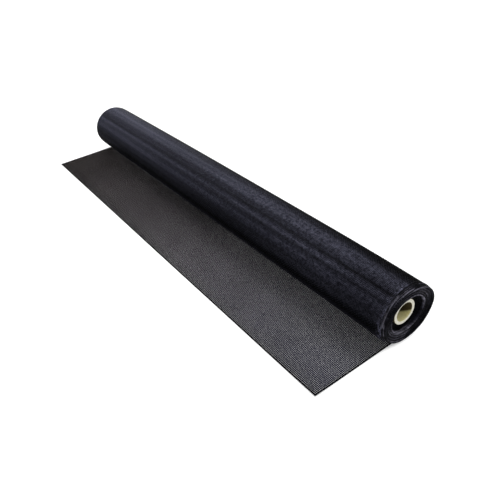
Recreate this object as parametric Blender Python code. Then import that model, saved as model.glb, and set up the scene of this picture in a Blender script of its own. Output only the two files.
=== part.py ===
"""Roll of insect screen mesh on a cardboard core, with its loose end laid out in front.

The roll lies along X, near end at +X. The loose end leaves it from underneath and lies
flat towards -Y. The origin is on the ground under the roll's axis, metres, +Z up.
"""
from math import atan2, cos, hypot, pi, sin, tau

import bmesh
import bpy
from mathutils import Vector

# Cloth and roll
CLOTH_WIDTH = 0.600          # mesh width between its side edges, along X
SHEET_THICKNESS = 0.001      # loose end as a solid sheet
LOOSE_LENGTH = 0.1022        # free edge to the roll's axis
TURN_THICKNESS = 0.0003      # step that one turn of the mesh adds to the radius
ROLL_RADIUS = 0.03175        # outermost turn
PIECE_GAP = 0.0003           # clearance between neighbouring pieces

# Cardboard core
CORE_RADIUS = 0.01275
CORE_BORE_RADIUS = 0.0095
CORE_SHIFT = 0.0015          # how far the core stands out past the cloth's near edge
CORE_EDGE = 0.0003           # worn edge of the tube's cut ends

# Levels
AXIS_HEIGHT = ROLL_RADIUS
FLAT_SPOT_LEVEL = SHEET_THICKNESS + PIECE_GAP
FLAT_SPOT_HALF_WIDTH = (AXIS_HEIGHT ** 2 - (AXIS_HEIGHT - FLAT_SPOT_LEVEL) ** 2) ** 0.5

# Steps round each turned piece
ROLL_STEPS = 72

# Unevenness of the wound body
END_REACH = 0.015            # length of roll near each end in which the turns' edges wander
END_WAVE = 0.0006            # how far they wander along X
NEAR_TILT = 0.0020           # how far the near face leans out, most high at the back
NEAR_TILT_ANGLE = pi / 3
TILT_REACH = 0.002           # depth in X over which this lean begins
FAR_LEAN = 0.0030            # how far the far edge leans out, most at the low front side
FAR_LEAN_ANGLE = 1.35 * pi
SAG_REACH = 0.125            # length of roll in which the slack outer turns sag
SAG = 0.0009
SAG_END = 0.004              # past the cloth's edge the tight inner turns sag no more
OUT_OF_ROUND = 0.0002

NEAR = CLOTH_WIDTH / 2
FAR = -CLOTH_WIDTH / 2

# Long side of the roll, far end to near end: place along X, radius over the roll's radius
ROLL_SIDE = (
    (FAR, 0.985),
    (FAR + 0.003, 0.998),
    (FAR + 0.015, 1.002),
    (FAR + 0.075, 1.004),
    (FAR + 0.175, 1.009),
    (FAR + 0.300, 1.011),
    (FAR + 0.425, 1.006),
    (NEAR - 0.090, 0.997),
    (NEAR - 0.040, 0.985),
    (NEAR - 0.0125, 0.974),
    (NEAR + 0.001, 0.966),
)
# Near face, rim to bore: how far it stands past the cloth's edge, radius over the roll's radius
NEAR_FACE = (
    (0.0033, 0.957),
    (0.0055, 0.940),
    (0.0068, 0.920),
    (0.0070, 0.895),
    (0.0062, 0.870),
    (0.0050, 0.820),
    (0.0053, 0.760),
    (0.0043, 0.690),
    (0.0053, 0.635),
    (0.0045, 0.605),
    (0.0000, 0.575),
    (-0.0015, 0.520),
    (-0.0015, 0.450),
)
# Far face, bore to rim: how far it lies inside the cloth's edge, radius over the roll's radius
FAR_FACE = (
    (0.0000, 0.450),
    (0.0000, 0.560),
    (0.0055, 0.600),
    (0.0062, 0.700),
    (0.0058, 0.800),
    (0.0045, 0.900),
    (0.0015, 0.955),
)


def material(name, colour, roughness):
    """Plain finish with one colour and one roughness."""
    finish = bpy.data.materials.new(name)
    finish.use_nodes = True
    shader = finish.node_tree.nodes["Principled BSDF"]
    shader.inputs["Base Color"].default_value = (*colour, 1.0)
    shader.inputs["Roughness"].default_value = roughness
    shader.inputs["Metallic"].default_value = 0.0
    return finish


def add_object(name, mesh_data, finish):
    """Turn edited mesh data into an object of the scene."""
    bmesh.ops.recalc_face_normals(mesh_data, faces=mesh_data.faces)
    mesh = bpy.data.meshes.new(name)
    mesh_data.to_mesh(mesh)
    mesh_data.free()
    mesh.materials.append(finish)
    mesh.shade_smooth()
    mesh.set_sharp_from_angle(angle=pi / 6)
    thing = bpy.data.objects.new(name, mesh)
    bpy.context.scene.collection.objects.link(thing)
    return thing


def turned_ring(profile, steps):
    """Spin a closed profile of (x, radius) corners once round the X axis."""
    mesh_data = bmesh.new()
    corners = [mesh_data.verts.new((x, radius, 0.0)) for x, radius in profile]
    edges = [
        mesh_data.edges.new((corner, corners[(index + 1) % len(corners)]))
        for index, corner in enumerate(corners)
    ]
    bmesh.ops.spin(
        mesh_data,
        geom=corners + edges,
        cent=(0.0, 0.0, 0.0),
        axis=(1.0, 0.0, 0.0),
        angle=tau,
        steps=steps,
        use_merge=True,
    )
    return mesh_data


def core_tube(finish):
    """Cardboard tube with slightly worn cut edges."""
    far_end = FAR + CORE_SHIFT
    near_end = NEAR + CORE_SHIFT
    profile = (
        (far_end, CORE_BORE_RADIUS + CORE_EDGE),
        (far_end, CORE_RADIUS - CORE_EDGE),
        (far_end + CORE_EDGE, CORE_RADIUS),
        (near_end - CORE_EDGE, CORE_RADIUS),
        (near_end, CORE_RADIUS - CORE_EDGE),
        (near_end, CORE_BORE_RADIUS + CORE_EDGE),
        (near_end - CORE_EDGE, CORE_BORE_RADIUS),
        (far_end + CORE_EDGE, CORE_BORE_RADIUS),
    )
    tube = add_object("core_tube", turned_ring(profile, ROLL_STEPS), finish)
    tube.location.z = AXIS_HEIGHT
    return tube


def end_wave(angle):
    """Wandering of the turns' edges round the roll, from -1 to 1."""
    return 0.55 * sin(angle + 0.7) + 0.30 * sin(2 * angle - 0.4) + 0.15 * sin(5 * angle)


def uneven(point):
    """Give one point of the true turned body its place in the real, uneven roll."""
    radius = hypot(point.y, point.z)
    depth = radius / ROLL_RADIUS
    angle = atan2(point.z, point.y)
    turned = (angle + pi / 2) % tau / tau
    end_share = min(max(0.0, (abs(point.x) - NEAR + END_REACH) / END_REACH), 1.0)
    sag_share = min(
        max(0.0, (point.x - NEAR + SAG_REACH) / SAG_REACH),
        max(0.0, (NEAR + SAG_END - point.x) / SAG_END),
    )
    ripple = sin(2 * angle + 1.1) + 0.7 * sin(3 * angle + 8 * point.x)
    radius += depth * (OUT_OF_ROUND * ripple - TURN_THICKNESS * turned)
    place = point.x + END_WAVE * end_share * end_wave(angle)
    tilt_share = min(max(0.0, (point.x - NEAR) / TILT_REACH), 1.0) * min(max(0.0, 19.2 - 20 * depth), 1.0)
    place += NEAR_TILT * tilt_share * depth * cos(angle - NEAR_TILT_ANGLE)
    if point.x < 0:
        place -= FAR_LEAN * end_share * depth * (1 + cos(angle - FAR_LEAN_ANGLE)) / 2
    height = radius * sin(angle) - SAG * sag_share ** 2 * depth
    return Vector((place, radius * cos(angle), max(height, FLAT_SPOT_LEVEL - AXIS_HEIGHT)))


def wound_mesh(finish):
    """All the turns of the mesh as one body, with its stepped near end and hollow far end."""
    bore = CORE_RADIUS + PIECE_GAP
    side = [(x, ROLL_RADIUS * share) for x, share in ROLL_SIDE]
    near_face = [(NEAR + out, ROLL_RADIUS * share) for out, share in NEAR_FACE]
    far_face = [(FAR + inside, ROLL_RADIUS * share) for inside, share in FAR_FACE]
    bore_ends = [(near_face[-1][0], bore), (far_face[0][0], bore)]
    mesh_data = turned_ring(side + near_face + bore_ends + far_face, ROLL_STEPS)
    for point in mesh_data.verts:
        if hypot(point.co.y, point.co.z) > bore + PIECE_GAP:
            point.co = uneven(point.co)
    roll = add_object("wound_mesh", mesh_data, finish)
    roll.location.z = AXIS_HEIGHT
    return roll


def loose_end(finish):
    """Flat sheet from its free edge to the line where the roll's flat spot ends."""
    back_edge = FLAT_SPOT_HALF_WIDTH
    size = Vector((CLOTH_WIDTH, LOOSE_LENGTH + back_edge, SHEET_THICKNESS))
    mesh_data = bmesh.new()
    bmesh.ops.create_cube(mesh_data, size=1.0)
    bmesh.ops.scale(mesh_data, vec=size, verts=mesh_data.verts)
    sheet = add_object("loose_end", mesh_data, finish)
    sheet.location = (0.0, (back_edge - LOOSE_LENGTH) / 2, SHEET_THICKNESS / 2)
    return sheet


def build():
    """Empty the scene and make the three pieces."""
    for old in list(bpy.data.objects):
        bpy.data.objects.remove(old)
    screen_yarn = material("screen_yarn", (0.014, 0.014, 0.020), 0.45)
    cardboard = material("cardboard", (0.62, 0.55, 0.40), 0.85)
    core_tube(cardboard)
    wound_mesh(screen_yarn)
    loose_end(screen_yarn)


build()
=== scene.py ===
from math import cos, pi, radians, sin, tau

import bpy
import numpy as np
from mathutils import Matrix, Vector


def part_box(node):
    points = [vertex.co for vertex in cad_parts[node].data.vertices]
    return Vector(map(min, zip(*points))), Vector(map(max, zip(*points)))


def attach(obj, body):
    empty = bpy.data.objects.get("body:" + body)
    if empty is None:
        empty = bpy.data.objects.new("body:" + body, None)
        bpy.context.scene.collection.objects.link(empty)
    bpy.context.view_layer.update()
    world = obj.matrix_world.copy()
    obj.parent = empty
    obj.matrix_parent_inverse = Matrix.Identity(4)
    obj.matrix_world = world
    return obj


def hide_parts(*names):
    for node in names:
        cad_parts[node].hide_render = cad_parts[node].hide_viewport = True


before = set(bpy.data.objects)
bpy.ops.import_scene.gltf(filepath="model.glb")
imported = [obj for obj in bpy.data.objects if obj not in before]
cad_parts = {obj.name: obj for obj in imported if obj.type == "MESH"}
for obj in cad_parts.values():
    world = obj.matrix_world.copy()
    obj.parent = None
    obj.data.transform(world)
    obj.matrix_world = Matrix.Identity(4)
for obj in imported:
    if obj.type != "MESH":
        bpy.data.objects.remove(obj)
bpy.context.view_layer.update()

loose_low, loose_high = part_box("loose_end")
tube_low, tube_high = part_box("core_tube")

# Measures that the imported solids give
HALF_WIDTH = loose_high.x                       # cloth's side edges, along X
FREE_EDGE = loose_low.y                         # cut edge of the loose end
UNDER_EDGE = loose_high.y                       # where the loose end turns up into the roll
AXIS_HEIGHT = (tube_low.z + tube_high.z) / 2    # also the radius of the outermost turn
TUBE_RADIUS = (tube_high.z - tube_low.z) / 2

# Cardboard tube
TUBE_WALL = 0.00325
TUBE_BORE_RADIUS = TUBE_RADIUS - TUBE_WALL
TUBE_SIDES = 96
PLY = 0.00045                                   # thickness of one ply of the paper
PLY_GROOVE = 0.00010                            # depth of the grooves between plies at the cut ends
PAPER_STRIP = 0.046                             # width of the wound paper strips, along the tube
WORN_EDGE = 0.0003                              # how far the corners of the cut ends are worn off

# Cloth
YARN_PITCH = 0.0015
YARN_WIDTH = 0.00098
YARN_HEIGHT = 0.00034
CRIMP = 0.00024                                 # how far a crosswise yarn bends over and under
EDGE_PITCH = 0.0008                             # between the two close yarns at each of the cloth's edges
TURN_STEP = 0.0003                              # what one turn takes off the radius
FLAT_SPOT_LEVEL = 0.0013                        # underside of the roll where it rests
START_LEVEL = 0.00035                           # the same, where the outer turn leaves the loose end
LAID_LEVEL = 0.00045                            # middle of the loose end's yarns, where it lies lowest
FIRST_TURN = np.arcsin(UNDER_EDGE / AXIS_HEIGHT) / tau  # where the outer turn begins, in turns
PITCH_TURN = YARN_PITCH / tau / AXIS_HEIGHT     # one pitch round the roll, in turns

# Unevenness of the roll, as in its solid
END_WAVE = 0.0006                               # wandering of the turns' edges at both ends
END_REACH = 0.015                               # how far from the cloth's edges it is felt
FAR_LEAN = 0.0030                               # of the far edge, at one angle round the roll
FAR_LEAN_ANGLE = 1.35 * pi
NEAR_TILT = 0.0020                              # of what stands out of the near end, likewise
NEAR_TILT_ANGLE = pi / 3
NEAR_TILT_RISE = 0.002                          # distance past the cloth's edge over which it sets in
NEAR_TILT_RIM = 0.96                            # share of the roll's radius where it has faded out
NEAR_TILT_FADE = 0.05
SAG = 0.0009                                    # of the slack turns at the cloth's near edge
SAG_REACH = 0.125                               # from where it starts to that edge
SAG_END = 0.004                                 # from that edge to where it ends
OUT_OF_ROUND = 0.0002
# Finer unevenness, which the solid leaves out
PUCKER = 0.00010                                # of the wound cloth, in and out
RING_SLACK = 0.00012                            # of its lengthwise yarns, across the cloth
LONG_SLACK = 0.00045                            # of its crosswise yarns, round the roll, in long waves
SHORT_SLACK = 0.0002                            # the same, in short waves
LIFT_TURN = 0.03                                # stretch in which the outer turn comes up, in turns

# Outside of the roll: place along X, radius over the outermost turn's radius
SIDE_PLACE = np.array([0.0, 0.005, 0.025, 0.125, 0.2917, 0.5, 0.7083, 0.85, 0.9333, 0.9792, 1.0017])
SIDE_X = HALF_WIDTH * (2 * SIDE_PLACE - 1)
SIDE_SHARE = np.array([0.985, 0.998, 1.002, 1.004, 1.009, 1.011, 1.006, 0.997, 0.985, 0.974, 0.966])
# Outer turns at the near end: number of turns from the outside, how far their edge stands out
STEP_TURN = np.array([0.0, 0.25, 0.5, 0.65, 0.8, 1.0, 1.8, 2.8, 3.8, 5.0])
STEP_OUT = np.array([0.0, 0.0006, 0.0014, 0.0019, 0.0027, 0.0033, 0.0046, 0.0057, 0.0066, 0.0070])
STEPPED_TURNS = 5
# Near face, hub to rim: radius over the outermost turn's radius, how far it stands out
NEAR_SHARE = np.array([0.400, 0.520, 0.575, 0.592, 0.605, 0.625, 0.650, 0.690, 0.760, 0.820, 0.870, 0.900])
NEAR_OUT = 0.0001 * np.array([-15, -15, -4, 20, 45, 53, 50, 43, 53, 50, 62, 70])
# Far face, hub to rim: radius over the outermost turn's radius, how far it lies inside
FAR_SHARE = np.array([0.400, 0.560, 0.600, 0.700, 0.800, 0.900, 0.955, 0.985])
FAR_INSIDE = np.array([0.0, 0.0, 0.0055, 0.0062, 0.0058, 0.0045, 0.0015, 0.0])
# Steps along the lengthwise yarns: once round the roll, and from the free edge to the roll
RING_STEPS = 64
LAID_STEPS = 7
# Near end: width of each stepped edge, turns from one standing ridge to the next, and the pale inner
# ridge's radius over the outermost turn's radius
STEPPED_REACH = 0.004
RIDGE_TURNS = 7.3
INNER_RIDGE_SHARE = 0.617
# Side edges of the inner turns: how deep the band is, half its thickness, points in each turn
BAND_DEPTH = 0.005
BAND_HALF = 0.00010
BAND_STEPS = 72
# Streaks along the roll, with bands of painted highlight and shade: degrees round it from +Y over the
# top at its far and at its near end, reach in degrees, change of tone at the far and at the near end.
# The pale band near the top is a painted highlight, the dark bands high at the back and low at the
# front are painted shade, and the others are streaks of slack and tight cloth
STREAKS_AND_PAINTED_LIGHT = (
    (52.0, 60.0, 14.0, -0.97, -0.97),
    (90.0, 97.0, 9.0, 0.35, 0.80),
    (122.0, 121.0, 4.8, -0.48, -0.88),
    (130.5, 128.5, 3.5, 0.35, 0.25),
    (139.5, 136.0, 4.0, -0.33, -0.62),
    (152.0, 147.0, 6.0, 0.15, 0.10),
    (166.0, 162.0, 7.0, -0.35, -0.30),
    (190.0, 190.0, 25.0, -0.96, -0.93),
)
# Yarns of the loose end: their width over the usual one, what a close and what a shaded weave add
# to it, and what both take off the tone: painted shade beside the roll, and a darker far end
LAID_SPREAD = 1.02
CLOSE_SPREAD = 0.18
SHADED_SPREAD = 0.13
CLOSE_PAINTED_SHADE = 0.60
SHADED_DARK = 0.30

# Colours
WOUND_DARK = (0.0395, 0.0400, 0.0575)
WOUND_LIGHT = (0.0715, 0.0730, 0.1010)
WOUND_SPECULAR = 0.03
MOTTLE_DARK = (0.22, 0.22, 0.24)
MOTTLE_MIDDLE = (0.62, 0.62, 0.63)
MOTTLE_FAR = (0.62, 0.62, 0.64)
LAID_FAR = (0.034, 0.0165, 0.0175)
LAID_NEAR = (0.0145, 0.0143, 0.0330)
LAID_SPECULAR = 0.02
INNER_DARK = (0.0008, 0.0008, 0.0014)
INNER_LIGHT = (0.011, 0.011, 0.017)
EDGE_DARK = (0.0015, 0.0015, 0.0028)
EDGE_MIDDLE = (0.016, 0.016, 0.024)
EDGE_PALE = (0.240, 0.232, 0.290)
WALL_DARK = (0.55, 0.50, 0.22)
WALL_LIGHT = (0.72, 0.66, 0.34)
# Painted shade of the tube's bore and outer wall
WALL_PAINTED_SHADE = (0.050, 0.036, 0.012)
SEAM_SHADE = (0.55, 0.52, 0.45)
CUT_DARK = (0.60, 0.58, 0.48)
CUT_LIGHT = (0.78, 0.765, 0.67)

# Camera
CAMERA_PLACE = (0.5174, -0.2862, 0.3526)
CAMERA_AZIMUTH = radians(57.641)
CAMERA_ELEVATION = radians(35.315)
CAMERA_LEAN = radians(-6.442)
CAMERA_LENS = 38.49
SENSOR_WIDTH = 36.0
# Light and ground
WORLD_STRENGTH = 0.20
OVERHEAD_SOURCE = (-0.08, 0.04, 1.0)
OVERHEAD_STRENGTH = 3.7
OVERHEAD_SOFTNESS = 115.0
REAR_SOURCE = (-0.79, 0.43, 0.44)
REAR_STRENGTH = 1.4
REAR_SOFTNESS = 30.0
FLOOR_REACH = 20.0
FLOOR_DARK = 0.78
FLOOR_LIGHT = 0.80
FLOOR_GLOW = 0.22                               # keeps the pale floor white
FOOT_GLOW = 0.55                                # the same, past the near end: painted light on the roll's shadow
GLOW_RISE = 0.004                               # from one glow to the other, along X


def grid_faces(rows, columns, close_rows=False, close_columns=False):
    """Quads between the neighbours of a grid of points; a closed way joins its last line to its first."""
    row = np.arange(rows if close_rows else rows - 1)[:, None]
    column = np.arange(columns if close_columns else columns - 1)[None, :]
    next_row = (row + 1) % rows
    next_column = (column + 1) % columns
    corners = (
        row * columns + column,
        row * columns + next_column,
        next_row * columns + next_column,
        next_row * columns + column,
    )
    return np.stack(np.broadcast_arrays(*corners), axis=-1).reshape(-1, 4)


def add_piece(name, shape, finish, chart=None, tones=None):
    """Puts a shape, which is points with four-cornered and three-cornered faces, into a mesh object.

    The chart gives each point two coordinates on the surface, and tones are values of the points
    that the finish reads. The piece rides on the part.
    """
    points, quads, triangles = shape
    loops = np.concatenate([quads.ravel(), triangles.ravel()]).astype(np.int32)
    starts = np.concatenate([
        4 * np.arange(len(quads)),
        4 * len(quads) + 3 * np.arange(len(triangles)),
    ]).astype(np.int32)
    mesh = bpy.data.meshes.new(name)
    mesh.vertices.add(len(points))
    mesh.vertices.foreach_set("co", points.astype(np.float32).ravel())
    mesh.loops.add(len(loops))
    mesh.loops.foreach_set("vertex_index", loops)
    mesh.polygons.add(len(starts))
    mesh.polygons.foreach_set("loop_start", starts)
    mesh.update(calc_edges=True)
    if chart is not None:
        layer = mesh.uv_layers.new(name="surface")
        layer.data.foreach_set("uv", chart.reshape(-1, 2)[loops].astype(np.float32).ravel())
    for tone, values in (tones or {}).items():
        attribute = mesh.attributes.new(tone, "FLOAT", "POINT")
        attribute.data.foreach_set("value", values.astype(np.float32).ravel())
    mesh.materials.append(finish)
    mesh.shade_smooth()
    mesh.validate()
    piece = bpy.data.objects.new(name, mesh)
    bpy.context.scene.collection.objects.link(piece)
    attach(piece, "root")
    return piece


def quad_shape(points, quads):
    """Shape of four-cornered faces alone."""
    return points.reshape(-1, 3), quads, np.empty((0, 3), dtype=int)


def yarns(paths, outward, spread_out=1.0):
    """Closed three-sided yarns along many paths of equal count, as a shape.

    Each section is a triangle with its ridge outward: the ridge stands half the yarn's height
    above the path, and the two feet lie a quarter of it below, 0.43 of the width to each side.
    Side = outward x path. The width can be spread out by a factor at each point of the paths.
    Both ends are closed with a triangle.
    """
    count, steps = paths.shape[:2]
    along = np.gradient(paths, axis=1)
    along /= np.linalg.norm(along, axis=2, keepdims=True)
    side = np.cross(np.broadcast_to(outward, paths.shape), along)
    side /= np.linalg.norm(side, axis=2, keepdims=True)
    up = np.cross(along, side)
    turn = pi / 2 + tau * np.arange(3) / 3
    half_width = np.broadcast_to(YARN_WIDTH / 2 * spread_out, (count, steps))[:, :, None, None]
    points = (
        paths[:, :, None]
        + side[:, :, None] * np.cos(turn)[:, None] * half_width
        + up[:, :, None] * (np.sin(turn) * YARN_HEIGHT / 2)[:, None]
    )
    first = 3 * steps * np.arange(count)[:, None, None]
    quads = first + grid_faces(steps, 3, close_columns=True)[None]
    triangles = first + np.array([[2, 1, 0], [3 * steps - 3, 3 * steps - 2, 3 * steps - 1]])[None]
    return points.reshape(-1, 3), quads.reshape(-1, 4), triangles.reshape(-1, 3)


def corner_tones(tones):
    """Tones of the paths' points, repeated for the three corners that a yarn has at each of them."""
    return np.repeat(tones.ravel(), 3)


def joined(*shapes):
    """Several shapes as one."""
    starts = np.cumsum([0] + [len(shape[0]) for shape in shapes[:-1]])
    points = np.concatenate([shape[0] for shape in shapes])
    quads = np.concatenate([shape[1] + start for shape, start in zip(shapes, starts)])
    triangles = np.concatenate([shape[2] + start for shape, start in zip(shapes, starts)])
    return points, quads, triangles


def smooth_step(value):
    """Even rise from 0 to 1 with flat ends."""
    value = np.clip(value, 0, 1)
    return value * value * (3 - 2 * value)


def bell(value):
    """Bell curve of height 1 round 0."""
    return np.exp(-(value ** 2))


def end_wave(angle):
    """Wandering of the turns' edges round the roll, from -1 to 1."""
    return 0.55 * np.sin(angle + 0.7) + 0.30 * np.sin(2 * angle - 0.4) + 0.15 * np.sin(5 * angle)


def settle(x, radius, angle, clearance=0.0):
    """Gives points of a true roll their place in the uneven one.

    The radius gains two low waves round the roll. Near the ends the turns' edges wander along X,
    the far edge leans out low at the front, and what stands out of the near end leans out high at
    the back, less in its outermost turns. The slack turns near the near end sag with the square of
    the distance. Nothing goes below the flat spot. The angle runs from +Y to +Z.
    """
    depth = radius / AXIS_HEIGHT
    end_share = np.clip((np.abs(x) - HALF_WIDTH + END_REACH) / END_REACH, 0, 1)
    sag_share = np.minimum(
        np.maximum(0, (x - HALF_WIDTH + SAG_REACH) / SAG_REACH),
        np.maximum(0, (HALF_WIDTH + SAG_END - x) / SAG_END),
    )
    ripple = np.sin(2 * angle + 1.1) + 0.7 * np.sin(3 * angle + 8 * x)
    true_radius = radius + depth * OUT_OF_ROUND * ripple
    lean = np.where(x < 0, FAR_LEAN, 0) * end_share * depth * (1 + np.cos(angle - FAR_LEAN_ANGLE)) / 2
    tilt_share = np.clip((x - HALF_WIDTH) / NEAR_TILT_RISE, 0, 1)
    tilt_share = tilt_share * np.clip((NEAR_TILT_RIM - depth) / NEAR_TILT_FADE, 0, 1)
    tilt = NEAR_TILT * depth * tilt_share * np.cos(angle - NEAR_TILT_ANGLE)
    place = x + END_WAVE * end_share * end_wave(angle) - lean + tilt
    height = true_radius * np.sin(angle) - SAG * sag_share ** 2 * depth
    height = np.maximum(height, FLAT_SPOT_LEVEL - AXIS_HEIGHT + clearance)
    return np.stack(np.broadcast_arrays(place, true_radius * np.cos(angle), AXIS_HEIGHT + height), axis=-1)


def pucker(angle, x):
    """Shallow puckers of the wound cloth: radial waves round the roll that stray along it."""
    return PUCKER * np.sin(21 * angle + 1.2 * np.sin(7 * x)) * (0.6 + 0.4 * np.sin(5 * angle + 4 * x))


def warp_places():
    """Where the lengthwise yarns lie across the cloth: even inside, two close together at each edge."""
    edge = HALF_WIDTH - YARN_WIDTH / 2
    count = int(round(2 * (edge - EDGE_PITCH) / YARN_PITCH))
    inner = np.linspace(EDGE_PITCH - edge, edge - EDGE_PITCH, count + 1)
    return np.concatenate([[-edge], inner, [edge]])


def over_under(rows, columns):
    """Plain weave: +1 where the crosswise yarn of a row passes over a lengthwise one, -1 where under."""
    return 1 - 2 * ((np.arange(rows)[:, None] + np.arange(columns)[None, :]) % 2)


# Finishes
def new_finish(name):
    """Node material with its tree and its shader."""
    finish = bpy.data.materials.new(name)
    finish.use_nodes = True
    return finish, finish.node_tree, finish.node_tree.nodes["Principled BSDF"]


def add_node(tree, kind, values=None, **settings):
    """Node of a kind, with its settings and the values of its sockets."""
    node = tree.nodes.new(kind)
    for name, value in settings.items():
        setattr(node, name, value)
    for name, value in (values or {}).items():
        node.inputs[name].default_value = value
    return node


def spread(tree, scale=(1.0, 1.0, 1.0), coordinates="Object"):
    """Coordinates of the piece, stretched by a scale along each axis."""
    source = add_node(tree, "ShaderNodeTexCoord")
    mapping = add_node(tree, "ShaderNodeMapping", {"Scale": scale})
    tree.links.new(source.outputs[coordinates], mapping.inputs["Vector"])
    return mapping.outputs["Vector"]


def noise(tree, scale, detail=2.0, roughness=0.5):
    """Noise over the piece, of a scale along each axis, from 0 to 1."""
    node = add_node(tree, "ShaderNodeTexNoise", {"Scale": 1.0, "Detail": detail, "Roughness": roughness})
    tree.links.new(spread(tree, scale), node.inputs["Vector"])
    return node.outputs["Fac"]


def bands(tree, direction, pitch, distortion=0.0):
    """Waves over the chart of the surface, one at each pitch along a direction, from 0 to 1.

    At a scale of 1 the node's own waves are tau / 20 long.
    """
    node = add_node(
        tree, "ShaderNodeTexWave", {"Scale": tau / 20 / pitch, "Distortion": distortion},
        wave_type="BANDS", bands_direction=direction)
    tree.links.new(spread(tree, coordinates="UV"), node.inputs["Vector"])
    return node.outputs["Fac"]


def along_roll(tree, first, last, first_value=0.0, last_value=1.0):
    """Value that changes evenly between two places along X and keeps its end values beyond them."""
    place = add_node(tree, "ShaderNodeSeparateXYZ")
    tree.links.new(spread(tree), place.inputs[0])
    share = add_node(tree, "ShaderNodeMapRange", {
        "From Min": first, "From Max": last, "To Min": first_value, "To Max": last_value})
    tree.links.new(place.outputs["X"], share.inputs["Value"])
    return share.outputs["Result"]


def point_tone(tree, name):
    """A value that the piece's points carry."""
    return add_node(tree, "ShaderNodeAttribute", attribute_name=name).outputs["Fac"]


def ramp(tree, factor, stops):
    """Colours between stops of (place, colour), where one number stands for a grey."""
    node = add_node(tree, "ShaderNodeValToRGB")
    steps = node.color_ramp.elements
    while len(steps) < len(stops):
        steps.new(0.5)
    for step, (place, colour) in zip(steps, stops):
        step.position = place
        step.color = (*np.broadcast_to(colour, 3), 1.0)
    tree.links.new(factor, node.inputs["Fac"])
    return node.outputs["Color"]


def blend_colours(tree, how, factor, first, second):
    """Two colours mixed by a factor; each may be a socket or a value."""
    node = add_node(tree, "ShaderNodeMix", data_type="RGBA", blend_type=how)
    for index, value in ((0, factor), (6, first), (7, second)):
        if isinstance(value, bpy.types.NodeSocket):
            tree.links.new(value, node.inputs[index])
        else:
            node.inputs[index].default_value = value
    return node.outputs[2]


def shaded(tree, colour, shade):
    """A colour multiplied by a shade."""
    return blend_colours(tree, "MULTIPLY", 1.0, colour, shade)


def bump(tree, shader, height, strength, distance):
    """Low relief on the shader from a height socket."""
    node = add_node(tree, "ShaderNodeBump", {"Strength": strength, "Distance": distance})
    tree.links.new(height, node.inputs["Height"])
    tree.links.new(node.outputs["Normal"], shader.inputs["Normal"])


def coat_yarn(tree, shader, colour, roughness, specular):
    """Coated yarn of a colour and a roughness, with a fine grain."""
    tree.links.new(colour, shader.inputs["Base Color"])
    tree.links.new(roughness, shader.inputs["Roughness"])
    shader.inputs["Specular IOR Level"].default_value = specular
    bump(tree, shader, noise(tree, (2600.0, 2600.0, 2600.0)), 0.3, 0.00006)


def wound_yarn_finish():
    """Yarn of the outer turns: bluish black and satin, in long streaks and in small mottles.

    The mottles fade towards the far end. The points' winding tone adds streaks of the cloth and a
    painted highlight and painted shade.
    """
    finish, tree, shader = new_finish("wound_yarn")
    streaks = noise(tree, (0.9, 170.0, 170.0), 3.0, 0.6)
    mottles = noise(tree, (330.0, 460.0, 460.0), 2.0, 0.7)
    mottle = ramp(tree, mottles, [(0.36, MOTTLE_DARK), (0.50, MOTTLE_MIDDLE), (0.64, 1.0)])
    mottle_share = along_roll(tree, -0.2, 0.2, 0.25, 1.0)
    mottle = blend_colours(tree, "MIX", mottle_share, (*MOTTLE_FAR, 1.0), mottle)
    colour = ramp(tree, streaks, [(0.36, WOUND_DARK), (0.62, WOUND_LIGHT)])
    # Winding tone: cloth streaks with a painted highlight and painted shade
    colour = shaded(tree, shaded(tree, colour, mottle), point_tone(tree, "winding"))
    roughness = ramp(tree, mottles, [(0.35, 0.52), (0.65, 0.38)])
    coat_yarn(tree, shader, colour, roughness, WOUND_SPECULAR)
    return finish


def laid_yarn_finish():
    """Yarn of the loose end: brownish black at the far end, bluish black at the near one.

    Painted shade beside the roll comes in with the points' shade tone.
    """
    finish, tree, shader = new_finish("laid_yarn")
    colour = ramp(tree, along_roll(tree, -HALF_WIDTH, HALF_WIDTH), [(0.0, LAID_FAR), (1.0, LAID_NEAR)])
    patches = noise(tree, (14.0, 22.0, 14.0), 4.0, 0.6)
    colour = shaded(tree, colour, ramp(tree, patches, [(0.32, 0.70), (0.68, 1.0)]))
    # Painted shade beside the roll and a darker far end, from the points' shade
    colour = shaded(tree, colour, point_tone(tree, "shade"))
    roughness = ramp(tree, patches, [(0.3, 0.62), (0.7, 0.48)])
    coat_yarn(tree, shader, colour, roughness, LAID_SPECULAR)
    return finish


def inner_turns_finish():
    """The turns under the outermost one: near black, with the weave of the next layer."""
    finish, tree, shader = new_finish("inner_turns")
    height = add_node(tree, "ShaderNodeMath", operation="MAXIMUM")
    tree.links.new(bands(tree, "X", 1.04 * YARN_PITCH, 0.4), height.inputs[0])
    tree.links.new(bands(tree, "Y", 0.97 * YARN_PITCH, 0.4), height.inputs[1])
    colour = ramp(tree, height.outputs[0], [(0.45, INNER_DARK), (0.95, INNER_LIGHT)])
    tree.links.new(shaded(tree, colour, point_tone(tree, "end_shade")), shader.inputs["Base Color"])
    shader.inputs["Roughness"].default_value = 0.65
    shader.inputs["Specular IOR Level"].default_value = 0.02
    bump(tree, shader, height.outputs[0], 0.7, 0.0003)
    return finish


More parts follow.
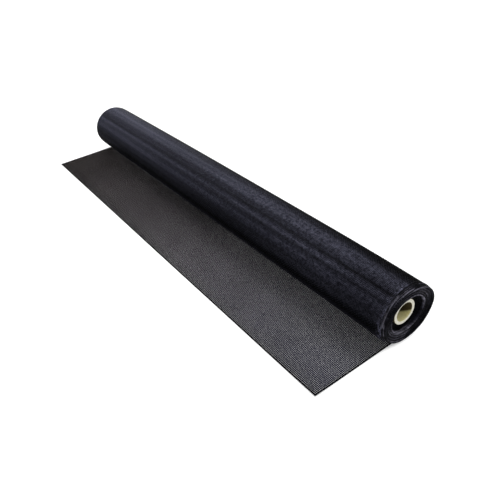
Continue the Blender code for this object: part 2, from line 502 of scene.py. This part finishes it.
def turn_edge_finish():
    """Side edges of the wound turns: black, with paler ridges where the turns stand out.

    The edge tone also carries painted light and shade round the roll.
    """
    finish, tree, shader = new_finish("turn_edges")
    yarn_ends = bands(tree, "X", YARN_PITCH, 1.5)
    patches = noise(tree, (170.0, 170.0, 170.0), 3.0, 0.6)
    # Edge tone: pale ridges and arcs, with painted light and painted shade
    tone = point_tone(tree, "edge_tone")
    colour = ramp(tree, tone, [(0.0, EDGE_DARK), (0.4, EDGE_MIDDLE), (1.0, EDGE_PALE)])
    colour = shaded(tree, colour, ramp(tree, yarn_ends, [(0.2, 0.55), (0.95, 1.0)]))
    colour = shaded(tree, colour, ramp(tree, patches, [(0.38, 0.30), (0.62, 1.0)]))
    tree.links.new(colour, shader.inputs["Base Color"])
    tree.links.new(ramp(tree, patches, [(0.3, 0.65), (0.7, 0.45)]), shader.inputs["Roughness"])
    shader.inputs["Specular IOR Level"].default_value = 0.03
    bump(tree, shader, yarn_ends, 0.6, 0.0003)
    return finish


def ply_rings(tree):
    """Rings of the plies at the tube's cut ends: a wave over the distance from the roll's axis."""
    source = add_node(tree, "ShaderNodeTexCoord")
    centred = add_node(
        tree, "ShaderNodeMapping", {"Location": (0.0, 0.0, -AXIS_HEIGHT), "Scale": (0.0, 1.0, 1.0)})
    tree.links.new(source.outputs["Object"], centred.inputs["Vector"])
    distance = add_node(tree, "ShaderNodeVectorMath", operation="LENGTH")
    tree.links.new(centred.outputs["Vector"], distance.inputs[0])
    rings = add_node(tree, "ShaderNodeMath", {1: tau / PLY}, operation="MULTIPLY")
    tree.links.new(distance.outputs["Value"], rings.inputs[0])
    waves = add_node(tree, "ShaderNodeMath", operation="SINE")
    tree.links.new(rings.outputs[0], waves.inputs[0])
    return ramp(tree, waves.outputs[0], [(0.0, CUT_DARK), (0.6, CUT_LIGHT)])


def paper_finish():
    """Spiral wound paper: cream cut ends with fine rings of plies, tan walls with spiral seams.

    The bore and the outer wall carry painted shade.
    """
    finish, tree, shader = new_finish("wound_paper")
    fibres = noise(tree, (420.0, 420.0, 420.0), 5.0, 0.65)
    blotches = noise(tree, (28.0, 80.0, 80.0), 3.0, 0.5)
    wall = ramp(tree, blotches, [(0.3, WALL_DARK), (0.7, WALL_LIGHT)])
    wall = shaded(tree, wall, ramp(tree, bands(tree, "X", 1.0), [(0.0, SEAM_SHADE), (0.03, 1.0)]))
    # Painted shade in the bore and on the outer wall
    wall = blend_colours(tree, "MIX", point_tone(tree, "painted_tube_shade"), wall, (*WALL_PAINTED_SHADE, 1.0))
    colour = blend_colours(tree, "MIX", point_tone(tree, "cut_end"), wall, ply_rings(tree))
    colour = shaded(tree, colour, ramp(tree, fibres, [(0.3, 0.82), (0.7, 1.0)]))
    tree.links.new(colour, shader.inputs["Base Color"])
    shader.inputs["Roughness"].default_value = 0.85
    shader.inputs["Specular IOR Level"].default_value = 0.25
    bump(tree, shader, fibres, 0.35, 0.00015)
    return finish


# Pieces
def outer_turn_places(turns, angle, places, drop):
    """Points of the outer turns from their number of turns and their place across the cloth.

    The radius is the roll's side profile less one step a turn. The cloth's near edge stands out
    further with each turn, and this shift fades to nothing at its far edge. The first stretch
    comes up from the ground.
    """
    out = np.interp(turns, STEP_TURN, STEP_OUT) * (0.5 + places / HALF_WIDTH / 2)
    x = places + out
    radius = AXIS_HEIGHT * np.interp(x, SIDE_X, SIDE_SHARE) - TURN_STEP * turns - drop
    points = settle(x, radius + pucker(angle, x), angle, YARN_HEIGHT / 2)
    low = 1 - smooth_step((turns - FIRST_TURN) / LIFT_TURN)
    points[..., 2] -= low * (FLAT_SPOT_LEVEL - START_LEVEL)
    return points


def radial(angle, shape):
    """Outward directions at angles round the roll."""
    directions = np.stack(np.broadcast_arrays(0 * angle, np.cos(angle), np.sin(angle)), axis=-1)
    return np.broadcast_to(directions, shape)


def winding_streaks_and_painted_light(angle, x):
    """How pale the winding is: long dark and pale streaks of slack and tight cloth at their angles,
    with a painted highlight and painted shade among them.

    Each streak is a bell over the angle, and its middle strays slowly along the roll. Broad painted
    shade and light follow: the near end is darker, most at the back, the far end is paler but for low at
    the front, and the front is darker at the middle, most low down. One pale patch lies low near the far
    end. The near cut edge is pale in specks, and low at the front in arcs.
    """
    tone = np.ones(np.broadcast(angle, x).shape)
    degrees = np.degrees(angle % tau)
    near = 0.5 + x / HALF_WIDTH / 2
    # Cloth streaks, a painted highlight near the top, painted shade high at the back and low at the front
    for number, (far_middle, near_middle, reach, far_change, near_change) in enumerate(STREAKS_AND_PAINTED_LIGHT):
        middle = far_middle + (near_middle - far_middle) * near
        change = far_change + (near_change - far_change) * near
        stray = 0.8 * np.sin(9.0 * x + 1.7 * number) + 0.4 * np.sin(31.0 * x + number)
        tone = tone * (1 + change * bell((degrees - middle - stray) / reach))
    # Broad painted shade and light round and along the roll
    near_back = smooth_step((x - 0.15) / 0.12) * smooth_step((96 - degrees) / 24)
    near_top = smooth_step((x - 0.10) / 0.05) * smooth_step((116 - degrees) / 8)
    near_end = smooth_step((x - 0.225) / 0.05)
    far_part = smooth_step((-0.06 - x) / 0.12) * smooth_step((160 - degrees) / 12)
    front = smooth_step((degrees - 128) / 8) * bell((x - 0.10) / 0.13)
    low_front = bell((degrees - 168) / 11) * bell((x - 0.05) / 0.10)
    far_patch = bell((degrees - 185) / 8) * smooth_step((-0.19 - x) / 0.05)
    tone = tone * (1 - 0.65 * near_back) * (1 - 0.15 * near_top) * (1 - 0.32 * near_end)
    tone = tone * (1 + 0.32 * far_part) * (1 - 0.24 * front) * (1 - 0.40 * low_front) * (1 + 2.5 * far_patch)
    specks = np.sin(tau * (0.19 * degrees + 2.3 * np.sin(0.31 * degrees) + x / 0.0037)) > 0.2
    edge = smooth_step((x - HALF_WIDTH + 0.0055) / 0.004) * smooth_step((degrees - 85) / 10)
    low_edge = smooth_step((x - HALF_WIDTH + 0.0065) / 0.002) * smooth_step((degrees - 160) / 20)
    arcs = np.sin(tau * x / 0.0030) * np.sin(tau * (degrees / 47 + x / 0.007)) > 0
    return tone * (1 - 0.3 * edge + 2.2 * edge * specks * (1 - low_edge)) + 1.5 * low_edge * arcs


def wrap_rings(places, first, last, steps):
    """Lengthwise yarns, which run straight round the roll, with their tones."""
    turns = np.linspace(first, last, steps + 1)[None, :]
    angle = tau * turns - pi / 2
    slack = RING_SLACK * np.sin(tau * (3 * turns + 0.31 * places[:, None] / YARN_PITCH))
    paths = outer_turn_places(turns, angle, places[:, None] + slack, CRIMP + YARN_HEIGHT / 2)
    return yarns(paths, radial(angle, paths.shape)), corner_tones(winding_streaks_and_painted_light(angle, places[:, None]))


def wrap_crossings(turns, places, weave):
    """Crosswise yarns, one at each number of turns, bent over and under, with their tones."""
    turns = turns[:, None]
    slack = LONG_SLACK * np.sin(10 * places + 1.7) + SHORT_SLACK * np.sin(46 * places + 40 * turns)
    turns = turns + slack / tau / AXIS_HEIGHT
    angle = tau * turns - pi / 2
    paths = outer_turn_places(turns, angle, places[None, :], CRIMP * (1 - weave) + YARN_HEIGHT / 2)
    return yarns(paths, radial(angle, paths.shape)), corner_tones(winding_streaks_and_painted_light(angle, places[None, :]))


def stepped_tone(number, turns):
    """How pale the yarns of the stepped edges are: the last one nearly all round, the others in arcs.

    The arcs are stretches of a wave over the turns that is offset from yarn to yarn. They show
    most low at the front and break into specks higher up. The back stays dark and the front side is
    paler: painted shade and light, which also set how strongly arcs and specks show round the roll.
    """
    degrees = 360 * ((turns - 0.25) % 1.0)
    low = bell((degrees - 205) / 38)
    high = bell((degrees - 112) / 24)
    arcs = np.sin(tau * (0.41 * number + 2.7 * turns + 0.3 * np.sin(11 * turns + number))) > 0.25
    specks = np.sin(tau * (0.37 * number + 29 * turns + 0.8 * np.sin(47 * turns))) > 0.1
    # Painted light over the front side, painted shade at the back
    side = smooth_step((degrees - 78) / 16) * smooth_step((240 - degrees) / 20) * (1 - 0.75 * low)
    others = 0.04 + 0.34 * side + (0.12 + 0.80 * low) * arcs + 0.42 * high * specks
    last = 0.30 + 0.60 * (np.sin(tau * (2.3 * turns + 0.4 * np.sin(9 * turns))) > 0.1)
    return np.where(number == number.max(), last, others)


def make_outer_turn(finish):
    """The outermost turn: one piece of lengthwise yarns and two pieces of crosswise yarns.

    The crosswise pieces share the lengthwise yarn at the middle of the roll.
    """
    places = warp_places()
    crossings = np.arange(FIRST_TURN, 1.0, PITCH_TURN)
    weave = over_under(len(crossings), len(places))
    middle = len(places) // 2
    shape, tone = wrap_rings(places, FIRST_TURN, 1.0, RING_STEPS)
    pieces = [add_piece("outer_turn_lengthwise_yarns", shape, finish, tones={"winding": tone})]
    for end, part in (("far", slice(0, middle + 1)), ("near", slice(middle, None))):
        shape, tone = wrap_crossings(crossings, places[part], weave[:, part])
        name = f"outer_turn_crosswise_yarns_{end}"
        pieces.append(add_piece(name, shape, finish, tones={"winding": tone}))
    return pieces


def make_stepped_edges(finish):
    """The edges of the next turns, which step out at the near end."""
    places = warp_places()
    edge = places[places > HALF_WIDTH - STEPPED_REACH]
    number = np.arange(len(edge))
    steps = RING_STEPS * (STEPPED_TURNS - 1)
    sweep = np.linspace(1.0, STEPPED_TURNS, steps + 1)
    crossings = np.arange(1.0, STEPPED_TURNS, PITCH_TURN)
    rings = wrap_rings(edge, 1.0, STEPPED_TURNS, steps)[0]
    bars = wrap_crossings(crossings, edge, over_under(len(crossings), len(edge)))[0]
    ring_tones = corner_tones(stepped_tone(number[:, None], sweep[None, :]))
    bar_tones = corner_tones(stepped_tone(number[None, :], crossings[:, None]))
    tones = {"edge_tone": np.concatenate([ring_tones, bar_tones])}
    return add_piece("stepped_turn_edges", joined(rings, bars), finish, tones=tones)


def make_roll_body(finish):
    """The turns under the outermost one, as one closed turned surface.

    Its profile follows the side 0.8 mm inside, the stepped edges and both faces about 2 mm inside,
    and it closes along the cardboard tube.
    """
    side_inside = 0.0008
    step_inside = 0.0018
    face_inside = 0.002
    hub = TUBE_RADIUS + 0.0002
    side_end = HALF_WIDTH - 0.0015
    side_x = np.linspace(-side_end, side_end, 61)
    side_radius = AXIS_HEIGHT * np.interp(side_x, SIDE_X, SIDE_SHARE) - side_inside
    turns = np.linspace(0.6, STEPPED_TURNS, 9)
    step_x = HALF_WIDTH + np.interp(turns, STEP_TURN, STEP_OUT) - step_inside
    step_radius = AXIS_HEIGHT * SIDE_SHARE[-1] - TURN_STEP * turns - side_inside
    near_x = HALF_WIDTH + NEAR_OUT[-2::-1] - face_inside
    near_radius = np.maximum(AXIS_HEIGHT * NEAR_SHARE[-2::-1], hub)
    far_x = -HALF_WIDTH + FAR_INSIDE[:-1] + face_inside
    far_radius = np.maximum(AXIS_HEIGHT * FAR_SHARE[:-1], hub)
    profile_x = np.concatenate([side_x, step_x, near_x, far_x])
    profile_radius = np.concatenate([side_radius, step_radius, near_radius, far_radius])
    steps = 120
    turn = np.arange(steps)[None, :] / steps
    angle = tau * turn - pi / 2
    outside = smooth_step((profile_radius[:, None] - hub) / 0.006)
    radius = profile_radius[:, None] - TURN_STEP * turn * outside
    radius = radius + pucker(angle, profile_x[:, None]) * outside
    points = settle(profile_x[:, None], radius, angle, 0.0004)
    strides = np.hypot(
        np.diff(profile_x, prepend=profile_x[0]), np.diff(profile_radius, prepend=profile_radius[0]))
    travel = np.cumsum(strides)[:, None]
    chart = np.stack(np.broadcast_arrays((angle + pi / 2) * AXIS_HEIGHT, travel), axis=-1)
    end_shade = np.where(np.abs(profile_x) > HALF_WIDTH - 0.006, 0.10, 1.0)
    quads = grid_faces(len(profile_x), steps, close_rows=True, close_columns=True)[:, ::-1]
    tones = {"end_shade": np.repeat(end_shade, steps)}
    return add_piece("wound_turns", quad_shape(points, quads), finish, chart, tones)


def ridge_tone(turns, angle, depth, ridge):
    """How pale the inner turns' edges are: on the ridges, in fine bands and in one patch.

    They are paler high at the back, where the patch is, and low at the front, which is painted light.
    Next to the tube they are dark, which is painted shade of the recess round it.
    """
    # Painted light by angle round the roll
    lit = 0.5 + 0.5 * np.sin(2 * angle - 0.6)
    inner_ridge = bell((depth - INNER_RIDGE_SHARE) / 0.013)
    fine = np.maximum(0, np.sin(tau * turns / 2.9 + 1.1 * np.sin(angle) + 0.7 * np.sin(2 * angle + 1))) ** 2
    patch = bell((depth - 0.588) / 0.02) * np.exp(-6 * (1 - np.cos(angle - 1.25)))
    tone = 0.10 + 0.60 * ridge * lit + 0.85 * inner_ridge * (0.45 + 0.55 * lit) + 0.75 * fine * lit
    # Painted shade next to the tube
    return np.clip(np.maximum(tone * smooth_step((depth - 0.57) / 0.04), 0.9 * patch), 0, 1)


def spiral_edges(name, finish, rim_share, shares, outs, facing, first):
    """Side edges of the inner turns as one spiral band that stands out of the roll's end.

    The radius falls evenly with the turns, with slow waves that bunch them. The band's outer line
    follows the end's profile over the radius. Every seventh turn or so stands out as a pale ridge,
    and shorter waves round the roll make the line uneven. The section has four corners: two at
    the edge and two a band's depth inside.
    """
    rim = AXIS_HEIGHT * rim_share
    hub = TUBE_RADIUS + 0.0004
    last = (rim - hub) / TURN_STEP
    turns = np.linspace(first, last, int((last - first) * BAND_STEPS))
    angle = tau * turns - pi / 2
    bunch = 0.00011 * np.sin(tau * 0.193 * turns) + 0.00008 * np.sin(tau * 0.447 * turns + 1.0)
    radius = np.maximum(rim - TURN_STEP * turns + bunch * smooth_step((turns - first) / 2), hub)
    depth = radius / AXIS_HEIGHT
    ridge = (0.5 + 0.5 * np.sin(tau * turns / RIDGE_TURNS + 0.8 * np.sin(angle + 0.5) + 0.5)) ** 3
    wander = (
        0.00028 * np.sin(tau * 0.371 * turns)
        + 0.00015 * np.sin(tau * 1.713 * turns + 2.0)
        + 0.00008 * np.sin(tau * 4.37 * turns)
        + 0.00005 * np.sin(tau * 9.61 * turns)
        + 0.00070 * ridge
    )
    x = facing * (HALF_WIDTH + wander) + np.interp(depth, shares, outs)
    corners = [
        (x - facing * BAND_DEPTH, radius - BAND_HALF),
        (x, radius - BAND_HALF),
        (x, radius + BAND_HALF),
        (x - facing * BAND_DEPTH, radius + BAND_HALF),
    ]
    points = np.stack([settle(place, size, angle, 0.0002) for place, size in corners], axis=1)
    quads = grid_faces(len(turns), 4, close_columns=True)
    caps = np.array([[3, 2, 1, 0], np.arange(4) + 4 * (len(turns) - 1)])
    quads = np.concatenate([quads, caps])[:, ::-facing]
    length = tau * (turns - first) * radius
    across = np.cumsum([0.0, BAND_DEPTH, 2 * BAND_HALF, BAND_DEPTH])
    chart = np.stack(np.broadcast_arrays(length[:, None], across[None, :]), axis=-1)
    # The inner corners, a band's depth inside, are dark: painted shade between the turns
    tone = ridge_tone(turns, angle, depth, ridge)[:, None] * np.array([0.0, 1.0, 1.0, 0.0])
    return add_piece(name, quad_shape(points, quads), finish, chart, {"edge_tone": tone})


def make_tube(finish):
    """Cardboard tube: a closed wall section carried round the axis.

    The section has worn corners, and its cut ends have one shallow groove between each pair of
    plies. The chart counts paper strips: one each turn and one each strip's width along the tube.
    The near cut end is a little ragged. The bore is painted in shade over its top and left light along
    its bottom, and the light part narrows over the first centimetre. The outer wall is painted in shade
    all along.
    """
    plies = int(round(TUBE_WALL / PLY))
    radii = np.linspace(TUBE_BORE_RADIUS + WORN_EDGE, TUBE_RADIUS - WORN_EDGE, 4 * plies + 1)
    groove = PLY_GROOVE * (np.cos(tau * plies * (radii - radii[0]) / (radii[-1] - radii[0])) * 0.5 + 0.5)
    sink = np.array([WORN_EDGE, 0.0020, 0.0035, 0.0050, 0.0065, 0.0080, 0.0095, 0.0150])
    inner_x = (HALF_WIDTH - 0.02) * np.linspace(-1, 1, 15)
    walls = np.concatenate([tube_low.x + sink, inner_x, (tube_high.x - sink)[::-1]])
    profile_x = np.concatenate([walls, tube_high.x - groove, walls[::-1], tube_low.x + groove])
    profile_radius = np.concatenate([
        np.full(len(walls), TUBE_BORE_RADIUS), radii, np.full(len(walls), TUBE_RADIUS), radii[::-1]])
    near_cut = np.zeros(len(profile_x))
    near_cut[len(walls):len(walls) + len(radii)] = 1.0
    cut = near_cut.copy()
    cut[-len(radii):] = 1.0
    angle = tau * np.arange(TUBE_SIDES)[None, :] / TUBE_SIDES
    ragged = np.abs(0.00006 * np.sin(9 * angle + 1.0) + 0.00004 * np.sin(23 * angle))
    x = profile_x[:, None] - near_cut[:, None] * ragged
    radius = profile_radius[:, None] + 0 * angle
    points = np.stack([x, radius * np.cos(angle), AXIS_HEIGHT + radius * np.sin(angle)], axis=-1)
    quads = grid_faces(len(profile_x), TUBE_SIDES, close_rows=True, close_columns=True)
    strips = profile_x[:, None] / PAPER_STRIP + angle / tau
    chart = np.stack(np.broadcast_arrays(strips, profile_x[:, None]), axis=-1)
    depth = np.minimum(tube_high.x - profile_x, profile_x - tube_low.x)[:, None]
    around = np.degrees((angle + pi / 2) % tau - pi / 2)
    # Painted shade over the bore's top, reaching lower further in
    dark = smooth_step((around + 26 + 4600 * np.minimum(depth, 0.01)) / 14)
    dark = dark * smooth_step((202 - around) / 16)
    bore = (profile_radius < TUBE_BORE_RADIUS + WORN_EDGE / 2)[:, None]
    # The outer wall is all in painted shade, the cut ends are not
    painted_tube_shade = np.where(bore, dark, (1 - cut)[:, None])
    tones = {"cut_end": np.repeat(cut, TUBE_SIDES), "painted_tube_shade": painted_tube_shade}
    return add_piece("cardboard_tube", quad_shape(points, quads), finish, chart, tones)


def laid_height(x, y):
    """Low rise and fall of the loose end over the ground, lowest where the roll holds it down."""
    free = smooth_step((-0.025 - y) / 0.065)
    waves = 0.5 + 0.5 * np.sin(18 * x + 28 * y + 0.6) * np.cos(6.2 * x - 0.4)
    corner = smooth_step((x - 0.25) / 0.05) * smooth_step((-0.075 - y) / 0.0275)
    return LAID_LEVEL + free * (0.0003 * waves + 0.0006 * corner)


def closeness_and_painted_shade(x, y):
    """How close and dark the loose end's weave is, from 0 to 1.

    It closes towards the far end and towards the roll, which draws the cloth together, and in low
    clouds between. The darker tone towards the roll is painted shade of the roll; towards the far end
    the tone is simply darker.
    """
    far = 0.97 * (1 - smooth_step((x + 0.22) / 0.38))
    # Towards the roll the darker tone is painted shade of the roll
    roll = 0.92 * smooth_step((y + 0.066) / 0.038)
    clouds = 0.10 * np.sin(31 * x + 47 * y + 1.0) * np.sin(23 * x - 61 * y) + 0.07 * np.sin(88 * x + 75 * y)
    return np.clip(1 - (1 - far) * (1 - roll) * (1 - clouds), 0, 1)


def deep_shade(x, y):
    """How far the loose end is darkened further, from 0 to 1.

    It is painted shade beside the roll, most towards the far end, and it is darker over the last
    part before the far edge.
    """
    # Painted shade of the roll beside it
    beside = smooth_step((y + 0.046) / 0.022) * smooth_step((0.08 - x) / 0.08)
    last = smooth_step((-0.15 - x) / 0.12)
    return 1 - (1 - beside) * (1 - last)


def edge_shade(x, y):
    """Shade of the close yarns at the cloth's edges: dark there, and 1 from 3.2 mm inside."""
    inside = np.minimum(HALF_WIDTH - np.abs(x), y - FREE_EDGE)
    return 0.12 + 0.88 * smooth_step((inside - 0.0020) / 0.0012)


def make_loose_mesh(finish):
    """One layer of open plain weave on the ground.

    Lengthwise yarns run along Y from the free edge to the roll, and crosswise yarns run along X,
    with one point at each crossing, over one lengthwise yarn and under the next. Both bow slowly
    between the cloth's edges, and each yarn strays by a hundredth of a millimetre of its own.
    """
    rng = np.random.default_rng(7)
    places = warp_places()
    stray = 0.00001
    y = np.linspace(FREE_EDGE, UNDER_EDGE, LAID_STEPS + 1)[None, :]
    phase = rng.uniform(0, tau, (len(places), 1))
    inside = 1 - np.abs(places[:, None]) / HALF_WIDTH
    sway = stray * np.sin(76 * y + phase) + 0.00025 * np.sin(14 * y + 6 * places[:, None]) * inside
    x = np.clip(places[:, None] + sway, -HALF_WIDTH, HALF_WIDTH)
    lengthwise = np.stack([x, y + 0 * x, laid_height(x, y)], axis=-1)
    first = FREE_EDGE + YARN_WIDTH / 2
    rows = np.concatenate([[first], np.arange(first + EDGE_PITCH, UNDER_EDGE, YARN_PITCH)])[:, None]
    phase = rng.uniform(0, tau, (len(rows), 1))
    middle = smooth_step((rows - FREE_EDGE) / 0.03) * smooth_step((UNDER_EDGE - rows) / 0.03)
    bow = stray * np.sin(42 * places + phase) + 0.0006 * np.sin(6.6 * places + 1.0) * middle
    y = np.clip(rows + bow, FREE_EDGE, UNDER_EDGE)
    x = places[None, :] + 0 * y
    z = laid_height(x, y) + CRIMP * over_under(len(rows), len(places))
    crosswise = np.stack([x, y, z], axis=-1)
    crosswise[:, 0, 0] = -HALF_WIDTH
    crosswise[:, -1, 0] = HALF_WIDTH
    up = np.array([0.0, 0.0, 1.0])
    shapes = []
    tones = []
    for paths in (lengthwise, crosswise):
        x, y = paths[..., 0], paths[..., 1]
        close = closeness_and_painted_shade(x, y)
        deep = deep_shade(x, y)
        shapes.append(yarns(paths, up, LAID_SPREAD + CLOSE_SPREAD * close + SHADED_SPREAD * deep))
        # Tone: painted shade beside the roll, a darker far end and dark cut edges
        tones.append(corner_tones((1 - CLOSE_PAINTED_SHADE * close) * (1 - SHADED_DARK * deep) * edge_shade(x, y)))
    return add_piece("loose_mesh", joined(*shapes), finish, tones={"shade": np.concatenate(tones)})


# Camera, light and ground
def make_camera():
    """Camera that sees the roll as the photograph does, for a square picture."""
    back = Vector((
        sin(CAMERA_AZIMUTH) * cos(CAMERA_ELEVATION),
        -cos(CAMERA_AZIMUTH) * cos(CAMERA_ELEVATION),
        sin(CAMERA_ELEVATION),
    ))
    level = Vector((0, 0, 1)).cross(back).normalized()
    upright = back.cross(level)
    right = level * cos(CAMERA_LEAN) + upright * sin(CAMERA_LEAN)
    up = upright * cos(CAMERA_LEAN) - level * sin(CAMERA_LEAN)
    data = bpy.data.cameras.new("camera")
    data.sensor_width = SENSOR_WIDTH
    data.lens = CAMERA_LENS
    data.clip_start = 0.01
    data.clip_end = 100.0
    camera = bpy.data.objects.new("camera", data)
    bpy.context.scene.collection.objects.link(camera)
    turned = Matrix((right, up, back)).transposed().to_4x4()
    camera.matrix_world = Matrix.Translation(CAMERA_PLACE) @ turned
    bpy.context.scene.camera = camera


def add_sun(name, source, strength, softness):
    """Even light from one direction, as soft as a sky of that many degrees."""
    data = bpy.data.lights.new(name, "SUN")
    data.energy = strength
    data.angle = radians(softness)
    light = bpy.data.objects.new(name, data)
    light.rotation_euler = Vector(source).to_track_quat("Z", "Y").to_euler()
    light.location = Vector(source)
    bpy.context.scene.collection.objects.link(light)


def floor_finish():
    """Pale floor, nearly even, with a slight glow of its own that is stronger past the near end.

    The stronger glow there is painted light over the roll's shadow.
    """
    finish, tree, shader = new_finish("pale_floor")
    grain = noise(tree, (3.0, 3.0, 3.0))
    pale = ramp(tree, grain, [(0.3, FLOOR_DARK), (0.7, FLOOR_LIGHT)])
    tree.links.new(pale, shader.inputs["Base Color"])
    shader.inputs["Roughness"].default_value = 0.9
    shader.inputs["Specular IOR Level"].default_value = 0.0
    shader.inputs["Emission Color"].default_value = (1.0, 1.0, 1.0, 1.0)
    # Stronger glow past the near end: painted light over the roll's shadow
    glow = along_roll(tree, HALF_WIDTH, HALF_WIDTH + GLOW_RISE, FLOOR_GLOW, FOOT_GLOW)
    tree.links.new(glow, shader.inputs["Emission Strength"])
    return finish


def make_studio():
    """Pale floor, even surrounding light, a broad soft light from above and a low one from behind."""
    world = bpy.data.worlds.new("studio")
    world.use_nodes = True
    background = world.node_tree.nodes["Background"]
    background.inputs["Color"].default_value = (1.0, 1.0, 1.0, 1.0)
    background.inputs["Strength"].default_value = WORLD_STRENGTH
    bpy.context.scene.world = world
    add_sun("overhead_light", OVERHEAD_SOURCE, OVERHEAD_STRENGTH, OVERHEAD_SOFTNESS)
    add_sun("rear_light", REAR_SOURCE, REAR_STRENGTH, REAR_SOFTNESS)
    mesh = bpy.data.meshes.new("floor")
    far = FLOOR_REACH
    mesh.from_pydata([(-far, -far, 0), (far, -far, 0), (far, far, 0), (-far, far, 0)], [], [(0, 1, 2, 3)])
    mesh.materials.append(floor_finish())
    floor = bpy.data.objects.new("floor", mesh)
    bpy.context.scene.collection.objects.link(floor)
    bpy.context.scene.view_settings.view_transform = "Standard"


make_camera()
make_studio()

edge_finish = turn_edge_finish()
laid_mesh = make_loose_mesh(laid_yarn_finish())
outer_turn = make_outer_turn(wound_yarn_finish())
stepped_edges = make_stepped_edges(edge_finish)
roll_body = make_roll_body(inner_turns_finish())
near_edges = spiral_edges(
    "near_turn_edges", edge_finish, SIDE_SHARE[-1], NEAR_SHARE, NEAR_OUT, 1, STEPPED_TURNS - 0.3)
far_edges = spiral_edges("far_turn_edges", edge_finish, SIDE_SHARE[0], FAR_SHARE, FAR_INSIDE, -1, 1.0)
tube = make_tube(paper_finish())

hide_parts("wound_mesh")
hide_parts("core_tube")
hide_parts("loose_end")
